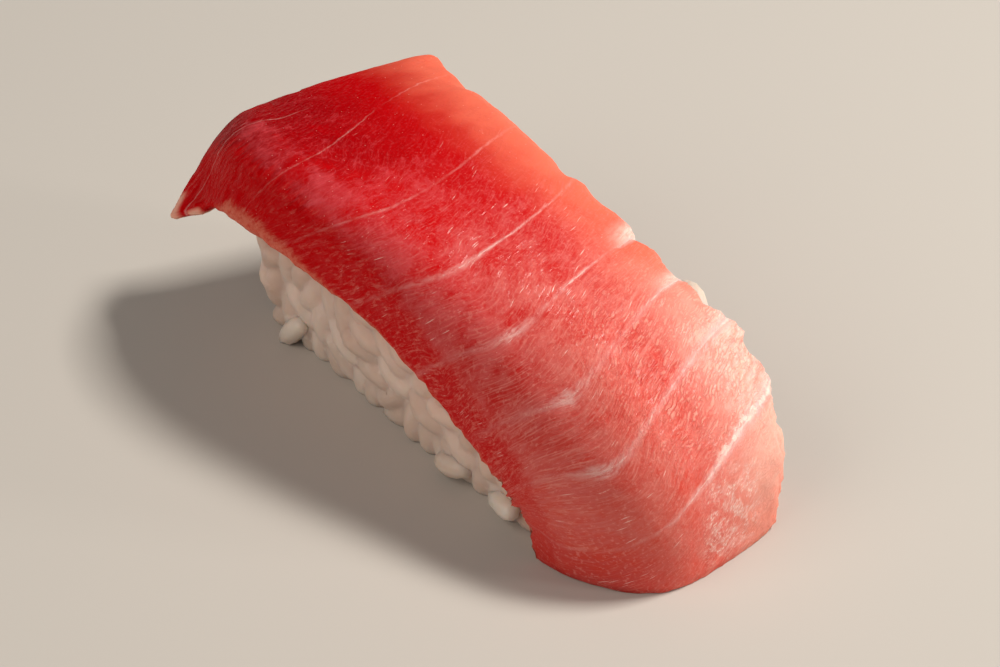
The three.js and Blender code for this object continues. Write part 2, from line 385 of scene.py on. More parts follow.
def read_attribute(mesh, name):
    """Each vertex's number."""
    values = np.empty(len(mesh.vertices), np.float32)
    mesh.attributes[name].data.foreach_get("value", values)
    return values


def pick(piece):
    """Makes the piece the active object and the only selected one."""
    bpy.ops.object.select_all(action="DESELECT")
    piece.select_set(True)
    bpy.context.view_layer.objects.active = piece


def finish_piece(piece, material, node):
    """Smooth shading, the material, and the piece's place in the frame."""
    piece.data.materials.clear()
    piece.data.materials.append(material)
    pick(piece)
    bpy.ops.object.shade_smooth()
    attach(piece, "root")
    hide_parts(node)


# ---------- materials ----------
def add(tree, kind, feeds=(), **settings):
    """Adds a node with its settings. feeds gives its sockets, in order or by name, a value or what feeds them."""
    node = tree.nodes.new("ShaderNode" + kind)
    for name, value in settings.items():
        setattr(node, name, value)
    for key, value in feeds.items() if isinstance(feeds, dict) else enumerate(feeds):
        if isinstance(key, int):
            socket = node.inputs[key]
        else:
            socket = next(i for i in node.inputs if i.name == key and i.enabled)
        if isinstance(value, bpy.types.Node):
            value = next(o for o in value.outputs if o.enabled)
        if isinstance(value, bpy.types.NodeSocket):
            tree.links.new(value, socket)
        else:
            socket.default_value = value
    return node


def new_material(name):
    material = bpy.data.materials.new(name)
    material.use_nodes = True
    tree = material.node_tree
    tree.nodes.clear()
    return material, tree


def raw_tuna_belly(colours):
    """Raw tuna belly, cut with a knife: moist muscle, translucent, deep red where it is lean and pale where it is
    fat, with milky sheets of sinew and fine fibres between them. Places and sizes in it are in millimetres."""
    material, tree = new_material("raw_tuna_belly")
    node = partial(add, tree)
    flat = node("Attribute", attribute_name="flat").outputs["Vector"]
    along, across, depth = node("SeparateXYZ", (flat,)).outputs
    count, plain, wide = (
        node("Attribute", attribute_name=name).outputs["Fac"] for name in ("sinew", "sinew_plain", "sinew_width")
    )

    def times(*parts):
        """A product. A part in brackets is a soft step: a value, from where to where, and from what to what."""
        result = None
        for part in parts:
            if isinstance(part, tuple):
                part = node("MapRange", part, interpolation_type="SMOOTHSTEP")
            result = part if result is None else node("Math", (result, part), operation="MULTIPLY")
        return result

    def total(start, *terms):
        """A sum: the start, and then each value with how much of it is added."""
        for value, share in terms:
            start = node("Math", (value, share, start), operation="MULTIPLY_ADD")
        return start

    # Clouds all over the slice, each with its size, how many finer clouds it holds and how strong those are.
    cloud = {}
    for name, size, detail, rough in (
        ("broad", 9.0, 2.0, 0.55),
        ("swaying", 6.0, 1.0, 0.55),
        ("patchy", 4.2, 7.0, 0.68),
        ("middling", 2.2, 4.0, 0.6),
        ("girth", 1.7, 3.0, 0.55),
        ("damp", 1.6, 3.0, 0.55),
        ("gaps", 0.8, 4.0, 0.8),
        ("crumbs", 0.8, 4.0, 0.7),
        ("fine", 0.4, 3.0, 0.6),
    ):
        cloud[name] = node("TexNoise", {"Vector": flat, "Scale": 1 / size, "Detail": detail, "Roughness": rough})

    # A coordinate that runs across the fibres.
    fibre_across = total(
        times(count, SINEW_PITCH),
        (across, FIBRE_SLANT),
        (cloud["swaying"], 2.4),
        (cloud["middling"], 0.3),
    )

    def combed(stretch):
        """Coordinates in which a round mark comes out drawn along the fibres by that much."""
        return node("CombineXYZ", (fibre_across, times(across, 1 / stretch), times(depth, 1 / stretch)))

    # Clouds that are combed along the fibres: how far, and then as above. Muscle fibres are finer than a tenth of
    # a millimetre, and the finest here are drawn coarser so that they show.
    for name, stretch, size, detail, rough in (
        ("fibre", 9, 0.24, 2.0, 0.6),
        ("coarse_fibre", 9, 0.9, 3.0, 0.6),
        ("wisp", 2.4, 0.6, 5.0, 0.72),
        ("vein", 2.4, 0.45, 4.0, 0.7),
        ("curl", 1.7, 1.3, 2.5, 0.55),
        ("ripple", 3, 0.5, 0.0, 0.55),
    ):
        feeds = {"Vector": combed(stretch), "Scale": 1 / size, "Detail": detail, "Roughness": rough}
        cloud[name] = node("TexNoise", feeds)
    patchy, fine, wisp, fibre, coarse_fibre = (
        cloud[name] for name in ("patchy", "fine", "wisp", "fibre", "coarse_fibre")
    )

    def flecks(vector, cell, radius, share):
        """Small marks scattered one to a cell, of which only that share is there."""
        spots = node("TexVoronoi", {"Vector": vector, "Scale": 1 / cell})
        chance = node("SeparateXYZ", (spots.outputs["Color"],))
        kept = node("Math", (chance, share), operation="LESS_THAN")
        return times((spots.outputs["Distance"], radius / cell, 0.3 * radius / cell), kept)

    # Each layer of colour is given as how strongly it covers those before it, and the colour.
    layers = []

    # Lean red to pink along the slice, and a painted shade that makes it darkest at the near side of the lean end,
    # the side turned from the light.
    shifted = total(along, (cloud["broad"], 14.0))
    layers.append((times((shifted, 12.0, 52.0)), colours.meat))
    layers.append((times((shifted, 44.0, 92.0)), colours.belly))
    layers.append((times((shifted, 40.0, 14.0), (across, 5.0, -5.0), 0.9), colours.deep))

    # Milky haze lies over the red in feathery clouds: little at the lean end, much at the fat one, and a band on
    # the near crest. It is partly milky film and partly a painted sheen standing in for the soft reflection on the
    # moist surface, and the band on the near crest is painted sheen.
    painted_crest_sheen = times((across, -8.4, -10.0), (depth, 3.0, 1.2), (along, 6.0, 9.0))
    curl = node("Math", (node("Math", (cloud["curl"], 0.5), operation="SUBTRACT"),), operation="ABSOLUTE")
    haze_and_sheen_cover = total(
        -0.31,
        (patchy, 1.0),
        (wisp, 0.6),
        (times((along, 8.0, 46.0, -0.24, 0.08)), 1.0),
        (times((across, -5.0, 5.0), (along, 50.0, 28.0)), -0.15),
        (times(painted_crest_sheen, (along, 40.0, 20.0)), 0.22),
        (times((curl, 0.05, 0.0)), 0.12),
    )
    paler = times((along, 20.0, 62.0), (across, -11.0, -3.0, 0.55, 1.0))
    haze_and_painted_sheen = node("Mix", {"Factor": paler, "A": colours.haze, "B": colours.pale_haze}, data_type="RGBA")
    layers.append((times((haze_and_sheen_cover, 0.28, 0.84), 0.9), haze_and_painted_sheen))

    # Salmon to cream towards the far edge, palest where three sheets of sinew run out.
    creamy = times((shifted, 52.0, 66.0), (shifted, 94.0, 76.0, 0.25, 1.0))
    rim = node("Mix", {"Factor": creamy, "A": colours.salmon, "B": colours.cream}, data_type="RGBA")
    edge = total(across, (cloud["broad"], 5.0), (cloud["middling"], 2.5), (creamy, 1.2))
    edge = total(edge, (times((along, 4.0, 20.0, -1.6, -0.3)), 1.0))
    layers.append((times((edge, 5.5, 15.5), (depth, 8.0, 1.5, 0.5, 0.95)), rim))
    to_next_sheet = node("Math", (count,), operation="FRACT")
    fatty = times((to_next_sheet, 0.66, 0.97), (across, 6.5, 12.0), (along, 37.0, 40.0), (along, 74.0, 68.0))
    layers.append((times(fatty, (wisp, 0.3, 0.6, 0.5, 1.0)), colours.fat))
    chalky = times((along, 54.0, 59.0), (along, 70.0, 66.0), (across, 4.0, 9.5), (wisp, 0.42, 0.58), 0.6)
    layers.append((chalky, colours.fat))

    # Blood red blotches by the near crest, and the red band along the near side, which fibres fray into the haze.
    layers.append((times((patchy, 0.5, 0.36), (across, 1.0, -9.0), (along, 70.0, 44.0), 0.45), colours.blood))
    frayed = total(-3.5, (depth, 1.0), (coarse_fibre, 5.0), (fibre, 2.0), (times((along, 26.0, 42.0)), -1.1))
    side = times((frayed, 1.3, 3.2), (across, -10.5, -12.3), (along, 86.0, 48.0, 0.3, 0.9))
    mottled = {"Factor": times((wisp, 0.44, 0.64)), "A": colours.blood, "B": colours.meat}
    layers.append((side, node("Mix", mottled, data_type="RGBA")))
    layers.append((times(side, (cloud["vein"], 0.5, 0.68), (along, 12.0, 36.0, 0.12, 0.5)), colours.pale_haze))
    # A painted shade: the near side of the folded end is darkened towards blood red, where the light falls off.
    layers.append((times((along, 72.0, 82.0), (across, 2.0, -8.0), 0.5), colours.blood))

    # Fine pale fibres, plainer towards the fat end.
    on_top = times((depth, 4.5, 1.5, 0.6, 1.0))
    paleness = times((along, 6.0, 66.0, 0.08, 0.5), (along, 76.0, 64.0, 0.5, 1.0), on_top)
    brighter = {"Factor": times((along, 10.0, 60.0)), "A": colours.haze, "B": colours.fibre}
    bright = node("Mix", brighter, data_type="RGBA")
    streaked = times((across, -6.0, 3.0, 0.4, 1.0), (along, 36.0, 56.0, 0.4, 1.3))
    layers.append((times((fibre, 0.5, 0.74), paleness), bright))
    layers.append((times((coarse_fibre, 0.52, 0.74), paleness, streaked), bright))
    layers.append((times((fine, 0.52, 0.7), (along, 16.0, 56.0, 0.2, 0.42), on_top), bright))

    # The fat end's flesh is crinkled where the knife dragged, in rounded cells, with a painted highlight in cream
    # on the folds and a painted shade in red on the borders between them.
    wander = node("TexNoise", {"Vector": flat, "Scale": 1 / 0.9, "Detail": 2.0}).outputs["Color"]
    ruffled = node("VectorMath", (wander, (0.9, 0.9, 0.9), combed(2.8)), operation="MULTIPLY_ADD")
    folds = {"Vector": ruffled, "Scale": 1 / 0.46}
    border = node("TexVoronoi", folds, feature="DISTANCE_TO_EDGE").outputs["Distance"]
    fold_and_painted_highlight = times((border, 0.0, 0.3))
    chance = node("SeparateXYZ", (node("TexVoronoi", folds).outputs["Color"],))
    crinkled = times(
        (shifted, 50.0, 66.0),
        (across, -7.0, 1.0, 0.15, 1.0),
        (cloud["middling"], 0.3, 0.6, 0.2, 1.0),
        (along, 72.0, 63.0, 0.35, 1.0),
    )
    painted_crease_shade = node("Math", (1.0, fold_and_painted_highlight), operation="SUBTRACT")
    layers.append((times(fold_and_painted_highlight, crinkled, (chance, 0.2, 0.9), 0.5), colours.cream))
    layers.append((times(painted_crease_shade, crinkled, 0.3), colours.meat))

    # How far the nearest sheet of sinew is, and the short white strokes and dots, thickest beside the sheets and on
    # the crinkles: partly pale flecks of sinew, partly painted glints standing in for highlights on the wet flesh.
    between_sheets = node("Math", (node("Clamp", (count, -0.4, LAST_SINEW + 0.4)), 0.5), operation="PINGPONG")
    away = total(-0.15, (between_sheets, SINEW_PITCH), (fine, 0.3))
    clustered = times((patchy, 0.5, 0.58), (along, 18.0, 34.0), (across, 9.0, 4.0, 0.3, 1.0))
    beside = times((away, 2.4, 0.6), (plain, 0.15, 0.5), (wisp, 0.45, 0.6))
    for more in (beside, times(crinkled, (patchy, 0.48, 0.56))):
        clustered = node("Math", (clustered, more), operation="MAXIMUM")
    fleck_and_glint_strokes = times(flecks(combed(10), 0.26, 0.07, 0.5), clustered)
    fleck_and_glint_dots = times(flecks(flat, 0.6, 0.07, 0.4), (along, 70.0, 10.0, 0.35, 0.5))
    flecks_and_painted_glints = node("Math", (fleck_and_glint_strokes, fleck_and_glint_dots), operation="MAXIMUM")
    layers.append((times(flecks_and_painted_glints, on_top, 0.8), colours.sinew))

    # A wet patch on the fold, with a painted sheen in soft pale clouds and painted glints in small pale flecks.
    wet_patch_painted_glints = times((along, 70.0, 74.0), (along, 84.0, 80.0), (across, 0.0, 2.0), (across, 9.5, 6.5))
    wet_patch_painted_glints = times(wet_patch_painted_glints, (cloud["damp"], 0.42, 0.54))
    layers.append((times(wet_patch_painted_glints, (wisp, 0.42, 0.6, 0.1, 0.42)), colours.sinew))
    layers.append((times(flecks(combed(1.3), 0.26, 0.12, 0.8), wet_patch_painted_glints, 0.85), colours.fat))

    # Sheets of sinew: a crisp line in a milky one, with more gaps where the sheet is less plain.
    breadth = total(0.035, (wide, 0.05), (times((plain, 0.75, 1.0)), 0.16))
    breadth = times(breadth, (cloud["girth"], 0.36, 0.64, 0.4, 1.7))
    off_line = node("Math", (away, breadth), operation="DIVIDE")
    off_sheet = node("Math", (away, wide), operation="DIVIDE")
    crisp = times((off_line, 1.6, 0.3), (total(cloud["gaps"], (plain, 0.4)), 0.62, 0.86))
    layers.append((times((off_sheet, 1.0, 0.0), plain, (wisp, 0.36, 0.6, 0.3, 1.2)), colours.milk))
    layers.append((times(crisp, (plain, 0.0, 0.7, 0.05, 0.9)), colours.sinew))

    # Where a sheet bends over the near crest it is torn into a small white patch.
    bent = times((across, -6.6, -7.8), (across, -10.2, -9.0), (plain, 0.38, 0.5), (along, 40.0, 44.0))
    layers.append((times(bent, (off_sheet, 1.2, 0.2), (wisp, 0.4, 0.62, 0.1, 0.8)), colours.milk))

    # The last sheet ends in a broken white crust, most of it on the side towards the free end.
    free_side = total(away, (times((count, LAST_SINEW - 0.02, LAST_SINEW + 0.06)), 0.9))
    crust = times((free_side, 1.7, 0.3), (count, LAST_SINEW - 0.6, LAST_SINEW - 0.2), (across, 2.0, 5.0))
    layers.append((times(crust, (cloud["crumbs"], 0.47, 0.58), 0.9), colours.fat))

    # The thin translucent fringe along the lower near edge, broadest near the free end, and the pale tip and the
    # nub below it, painted paler than their flesh to stand in for light where the lamps leave them in shade.
    low = total(depth, (wisp, 2.4), (times((along, 9.0, 12.0), (along, 28.0, 16.0)), 1.3))
    fringe = times((low, 9.5, 10.8), (across, -9.0, -12.0), (along, 7.0, 11.0))
    layers.append((times(fringe, (fine, 0.3, 0.6, 0.3, 0.75)), colours.fringe))
    layers.append((times((along, 1.7, 1.0), (across, -10.0, -11.5), (depth, 6.4, 7.2)), colours.tip_painted_light))
    nub_painted_light = times((along, 3.9, 3.3), (along, 2.0, 2.4), (across, -8.0, -10.5), (depth, 8.9, 9.3))
    layers.append((nub_painted_light, colours.tip_painted_light))

    flesh = colours.lean
    for share, colour in layers:
        flesh = node("Mix", {"Factor": share, "A": flesh, "B": colour}, data_type="RGBA")

    relief = total(times(fold_and_painted_highlight, crinkled, 0.6), (coarse_fibre, 0.5), (fine, 0.3), (fibre, 0.3), (crisp, 0.2))
    bump = node("Bump", {"Strength": 0.6, "Distance": 0.22 * MM, "Height": relief})
    ripple = times(cloud["ripple"], total(1.0, (wet_patch_painted_glints, 2.4)))
    film = node("Bump", {"Strength": 1.0, "Distance": 0.24 * MM, "Height": ripple})
    skin = node(
        "BsdfPrincipled",
        {
            "Base Color": flesh,
            "Roughness": times((cloud["middling"], 0.3, 0.7, 0.2, 0.36)),
            "IOR": 1.36,
            "Specular IOR Level": 0.0,
            "Coat Weight": 0.13,
            "Coat Roughness": 0.16,
            "Coat IOR": 1.38,
            "Coat Normal": film,
            "Subsurface Weight": 0.3,
            "Subsurface Radius": (1.0, 0.3, 0.2),
            "Subsurface Scale": 1.6 * MM,
            "Normal": bump,
        },
    )
    node("OutputMaterial", {"Surface": skin})
    return material


def cooked_rice(name, colours):
    """Cooked short-grain rice: starchy, warm white, sticky and faintly translucent, with a thin wet film."""
    material, tree = new_material(name)
    node = partial(add, tree)
    place = node("TexCoord").outputs["Object"]
    tone, painted_bounce = (node("Attribute", attribute_name=name).outputs["Fac"] for name in ("tone", "painted_bounce"))

    # Each grain is more or less glassy, in patches half a grain long, and painted pink near the slice, standing in
    # for the red light bounced off it.
    patches = node("TexNoise", {"Vector": place, "Scale": 1 / (2.5 * MM), "Detail": 3.0})
    shade = node("Math", (tone, patches), operation="ADD")
    share = node("MapRange", (shade, 0.5, 1.5))
    starch = node("Mix", {"Factor": share, "A": colours.rice_glassy, "B": colours.rice}, data_type="RGBA")
    starch = node("Mix", {"Factor": painted_bounce, "A": starch, "B": colours.rice_painted_bounce}, data_type="RGBA")
    fine = node("TexNoise", {"Vector": place, "Scale": 1 / (0.5 * MM), "Detail": 3.0})
    bump = node("Bump", {"Strength": 0.35, "Distance": 0.15 * MM, "Height": fine})
    skin = node(
        "BsdfPrincipled",
        {
            "Base Color": starch,
            "Roughness": 0.38,
            "IOR": 1.4,
            "Subsurface Weight": 0.75,
            "Subsurface Radius": (1.0, 0.7, 0.5),
            "Subsurface Scale": 2.6 * MM,
            "Coat Weight": 0.2,
            "Coat Roughness": 0.15,
            "Normal": bump,
        },
    )
    node("OutputMaterial", {"Surface": skin})
    return material


def studio_paper(colour):
    """Matt paper under the piece."""
    material, tree = new_material("studio_paper")
    skin = add(tree, "BsdfPrincipled", {"Base Color": colour, "Roughness": 0.9})
    add(tree, "OutputMaterial", {"Surface": skin})
    return material


# ---------- the bed's form ----------
def bed_plan():
    """The bed's outline on the board: places round it, evenly spaced, and the way along it at each."""

    def curve(steps, *points):
        """A Bezier curve without its last point."""
        t = np.linspace(0, 1, steps, endpoint=False)[:, None]
        while len(points) > 1:
            points = [(1 - t) * np.array(a) + t * np.array(b) for a, b in zip(points, points[1:])]
        return points[0]

    end, free, wide, narrow = BED_FOLDED_END, BED_FREE_END, BED_HALF_WIDTH, BED_NARROWS_FROM
    middle = (end + narrow) / 2
    r = BED_CORNER
    outline = np.concatenate(
        [
            curve(60, (end, 0), (end, BED_FOLDED_HALF_WIDTH), (middle, wide), (narrow, wide)),
            curve(24, (free + r, wide), (free, wide), (free, wide - r)),
            curve(24, (free, r - wide), (free, -wide), (free + r, -wide)),
            curve(60, (narrow, -wide), (middle, -wide), (end, -BED_FOLDED_HALF_WIDTH), (end, 0)),
            [(end, 0)],
        ]
    )
    run = np.concatenate([[0], np.cumsum(np.linalg.norm(np.diff(outline, axis=0), axis=1))])
    even = np.linspace(0, run[-1], 721)
    places = np.stack([np.interp(even, run, outline[:, i]) for i in (0, 1)], 1)
    ways = np.gradient(places, axis=0)
    ways[0] = ways[-1] = (0, 1)
    return run[-1], places, ways / np.linalg.norm(ways, axis=1)[:, None]


PLAN_LENGTH, PLAN_PLACES, PLAN_WAYS = bed_plan()


def bed_side(run, height, inset):
    """Points on the bed's side, run millimetres round the plan and at that height, and the way out from each."""
    at = (run % PLAN_LENGTH) / PLAN_LENGTH * (len(PLAN_PLACES) - 1)
    steps = np.arange(len(PLAN_PLACES))
    x, y = (np.interp(at, steps, PLAN_PLACES[:, i]) for i in (0, 1))
    out = np.stack([np.interp(at, steps, PLAN_WAYS[:, 1]), -np.interp(at, steps, PLAN_WAYS[:, 0])], 1)
    out /= np.linalg.norm(out, axis=1)[:, None]
    tuck = np.maximum(0, 1 - height / BED_WIDEST_AT) ** 2
    undercut = (BED_SIDE_UNDERCUT + (BED_END_UNDERCUT - BED_SIDE_UNDERCUT) * np.maximum(0, -out[:, 0])) * tuck
    place = np.stack([x, y, height], 1)
    place[:, :2] -= out * (inset + undercut)[:, None]
    return place, np.concatenate([out, np.zeros((len(out), 1))], 1)


def under_slice(tuna, points):
    """How high the slice's underside is over each point, in millimetres."""
    heights = []
    for x, y in (points[:, :2] * MM).tolist():
        hit, place, _, _ = tuna.ray_cast(Vector((x, y, -1 * MM)), Vector((0, 0, 1)))
        heights.append(place.z / MM if hit else np.inf)
    return np.array(heights)


def give_painted_bounce(mesh, points, share=1):
    """Marks how strongly each point of the rice takes the painted pink that stands in for red light bounced off the
    slice.
    """
    tuna = bpy.data.objects["tuna_belly_slice"]
    away = [(tuna.closest_point_on_mesh(p)[1] - Vector(p)).length for p in points.tolist()]
    give_attribute(mesh, "painted_bounce", share * np.exp(-np.array(away) / (PAINTED_BOUNCE_REACH * MM)))


def spread_grains(random, count, low, high, length, width, rounds=90):
    """Grains lying on the bed's unrolled side, pushed apart until they lie close but hardly overlap."""
    centre = np.stack([random.uniform(0, PLAN_LENGTH, count), random.uniform(low, high, count)], 1)
    turn = random.uniform(0, np.pi, count)
    reach = (length - width) / 2
    beads = np.linspace(-1, 1, 4) * reach
    for _ in range(rounds):
        way = np.stack([np.cos(turn), np.sin(turn)], 1)
        points = centre[:, None] + beads[None, :, None] * way[:, None]
        gap = points[:, None, :, None] - points[None, :, None, :]
        gap[..., 0] = (gap[..., 0] + PLAN_LENGTH / 2) % PLAN_LENGTH - PLAN_LENGTH / 2
        apart = np.linalg.norm(gap, axis=-1) + 1e-6
        press = np.maximum(0, width - apart) / apart
        press[np.arange(count), np.arange(count)] = 0
        push = (gap * press[..., None]).sum((1, 3)) * 0.16
        centre += push.sum(1) * 0.5
        side = way[:, None, 0] * push[..., 1] - way[:, None, 1] * push[..., 0]
        turn += (side * beads).sum(1) / (2 * reach**2) * 0.6
        centre[:, 1] = np.clip(centre[:, 1], low, high)
    return centre, turn


# ---------- what a user would change ----------
def length_property(name, description, mm):
    """A length, whose default is given in millimetres."""
    return FloatProperty(name=name, description=description, default=mm * MM, unit="LENGTH")


class NigiriSliceSettings(bpy.types.PropertyGroup):
    length: length_property("Length", "Length of the slice along its bend", 84)
    half_width: length_property("Half width", "Half the width of the slice as cut", 12.6)
    thickness: length_property("Thickness", "Thickness of the slice as cut", 9.8)
    pitch: length_property("Mesh pitch", "Size of the faces along the slice", 0.2)
    groove: length_property("Groove depth", "How deep the sinew lies in the surface", 0.16)


class NigiriRiceSettings(bpy.types.PropertyGroup):
    grain_length: length_property("Grain length", "Length of a cooked grain", 5.8)
    grain_width: length_property("Grain width", "Width of a cooked grain", 2.8)
    grains:IntProperty(name="Grains", description="Grains in the outer layer of the bed", default=215, min=1)
    seed: IntProperty(name="Seed", description="Changes how the grains lie", default=5, min=0)


def colour_property(name, description, hex_colour):
    colour = (*linear(hex_colour), 1)
    return FloatVectorProperty(
        name=name, description=description, default=colour, subtype="COLOR", size=4, min=0, max=1
    )


class NigiriColours(bpy.types.PropertyGroup):
    lean: colour_property("Lean", "Flesh at the lean end", "b40004")
    # Meat also paints the shade on the borders between the crinkles.
    meat: colour_property("Meat", "Flesh at the middle", "c81a1c")
    belly: colour_property("Belly", "Flesh at the fat end", "e15a4a")
    # Deep red is a painted shade on the near side of the lean end.
    deep: colour_property("Deep red", "The near side of the lean end", "8e0006")
    # Blood red also paints the shade on the near side of the folded end.
    blood: colour_property("Blood red", "Blotches and the near side", "c80006")
    salmon: colour_property("Salmon", "The far edge at the lean end", "ea7259")
    # Cream also paints the highlight on the crinkle folds.
    cream: colour_property("Cream", "The far edge of the fat end", "f4bcaa")
    # Fat also paints the glints on the wet patch.
    fat: colour_property("Fat", "The far edge where sinew runs out", "fae2d6")
    fibre: colour_property("Fibre", "Fine fibres", "ee9c8f")
    # The two hazes are partly milky film and partly a painted sheen.
    haze: colour_property("Haze", "Milky patches at the lean end", "d0474e")
    pale_haze: colour_property("Pale haze", "Milky patches at the fat end", "e48074")
    milk: colour_property("Milk", "The milky borders of the sinew", "ecb6b0")
    # Sinew also paints the glints in white strokes and dots, and the sheen on the wet patch.
    sinew: colour_property("Sinew", "Crisp lines of sinew", "f6d2c8")
    fringe: colour_property("Fringe", "The thin lower edge", "e0826a")
    # The tip is painted paler than the flesh to stand in for light.
    tip_painted_light: colour_property("Tip", "The pale tip", "f4b09a")
    rice: colour_property("Rice", "Starchy grains", "f0dfd2")
    rice_glassy: colour_property("Glassy rice", "More translucent grains", "d8c2b3")
    # This pink is painted light: it stands in for red light bounced off the slice onto the rice.
    rice_painted_bounce: colour_property("Tinted rice", "Rice that the slice's juice has tinted", "e2a996")
    paper: colour_property("Paper", "The floor", "c2beb7")


# ---------- the operators ----------
class NIGIRI_OT_tuna_slice(bpy.types.Operator):
    """Cuts a flat block of tuna, rounds its edges and drapes it over the rice"""

    bl_idname = "nigiri.tuna_slice"
    bl_label = "Tuna slice"

    def execute(self, context):
        sizes = context.scene.nigiri_slice
        length, half_width, thickness, pitch, groove = (
            value / MM for value in (sizes.length, sizes.half_width, sizes.thickness, sizes.pitch, sizes.groove)
        )
        bpy.ops.object.select_all(action="DESELECT")
        bpy.ops.mesh.primitive_cube_add(size=1)
        bpy.ops.transform.resize(value=(sizes.length, 2 * sizes.half_width, sizes.thickness))
        bpy.ops.object.transform_apply(location=True, rotation=True, scale=True)
        tuna = start_piece("tuna_belly_slice")
        subdivide_along(tuna, 0, round(length / pitch) - 1)
        for axis, size in ((1, 2 * half_width), (2, thickness)):
            subdivide_along(tuna, axis, round(size / (FIBRE_STRETCH * pitch)) - 1)

        half = np.array([length / 2, half_width, thickness / 2])
        point = coordinates(tuna.data) / MM
        to_free_end = smooth(-point[:, 0], *(length / 2 - FAR_CORNER_FADE))
        far_corner = FAR_CORNER - (FAR_CORNER - FAR_CORNER_FREE) * to_free_end
        top_corner = np.where(point[:, 1] < 0, NEAR_CORNER, far_corner)
        corner = np.where(point[:, 2] < 0, UNDER_CORNER, top_corner)
        radii = np.stack([np.full_like(corner, END_CORNER), corner, corner], 1)
        core = np.clip(point, radii - half, half - radii)
        way = (point - core) / radii
        way /= np.maximum(np.linalg.norm(way, axis=1), 1e-9)[:, None]
        point = core + way * radii
        flat = point * (1, 1, -1) + (length / 2, 0, thickness / 2)
        count, plain, wide = sinew_place(flat)
        place_vertices(tuna.data, drape(flat / (1, half_width, thickness), half_width) * MM)

        out = np.empty(3 * len(flat), np.float32)
        tuna.data.vertex_normals.foreach_get("vector", out)
        out = out.reshape(-1, 3)
        along, across, depth = flat.T

        # The sinew lies in grooves, one sheet of it in a deeper crease, and the whole is softly uneven.
        away = np.abs((count + 0.5) % 1 - 0.5) * SINEW_PITCH
        rise = -groove * plain * np.exp(-((away / np.maximum(GROOVE_LEAST_REACH, 0.5 * wide)) ** 2))
        for lump in SOFT_LUMPS:
            rise += lumps(flat, *lump)
        creased = smooth(across, 6.5, 10.5) * (np.abs(count - CREASED) < 0.5)
        rise -= CREASE_DEPTH * creased * np.exp(-((away / CREASE_REACH) ** 2))

        # Crinkles that follow the fibres, deepest on the top of the fat end, and beads on the fold.
        crinkled = smooth(along, 42, 60) * smooth(across, -8, 1) * smooth(-depth, -6, -2)
        crinkled *= 1 - 0.6 * smooth(along, 63, 72)
        fibres = [count * SINEW_PITCH + FIBRE_SLANT * across, across / CRINKLE_STRETCH, depth / CRINKLE_STRETCH]
        rise += lumps(np.stack(fibres, 1), CRINKLE_HEIGHT + CRINKLE_HEIGHT_MORE * crinkled, CRINKLE_SIZE)
        rise += smooth(along, 66, 74) * smooth(across, -2, 4) * lumps(flat, *BEADS)

        # The far edge of the fat end and the lower near edge are torn into bumps.
        torn = smooth(across, 9.5, 12.0) * smooth(along, 34, 50)
        torn += smooth(depth, 7.0, 9.2) * smooth(-across, 10, 12) * (0.6 + 0.6 * smooth(along, 46, 56))
        for lump in TORN_LUMPS:
            rise += torn * lumps(flat, *lump)
        for middle, reach, height in SMALL_PEAKS:
            rise += height * np.exp(-(((flat - middle) / reach) ** 2).sum(1))

        # How far the far edge stands out.
        out_there = -DRAWN_IN * smooth(along, 0.5, 4) * smooth(-along, -13, -8.5)
        for place, height, reach in FAR_EDGE_SWELLS:
            out_there += height * np.exp(-(((along - place) / reach) ** 2))
        rise += out_there * smooth(across, 8, 12)
        point = coordinates(tuna.data) + out * (rise * MM)[:, None]
        point[:, 2] = np.maximum(point[:, 2], 0)
        place_vertices(tuna.data, point)
        for name, values in (("flat", flat), ("sinew", count), ("sinew_plain", plain), ("sinew_width", wide)):
            give_attribute(tuna.data, name, values)
        finish_piece(tuna, raw_tuna_belly(context.scene.nigiri_colours), "tuna_slice")
        return {"FINISHED"}


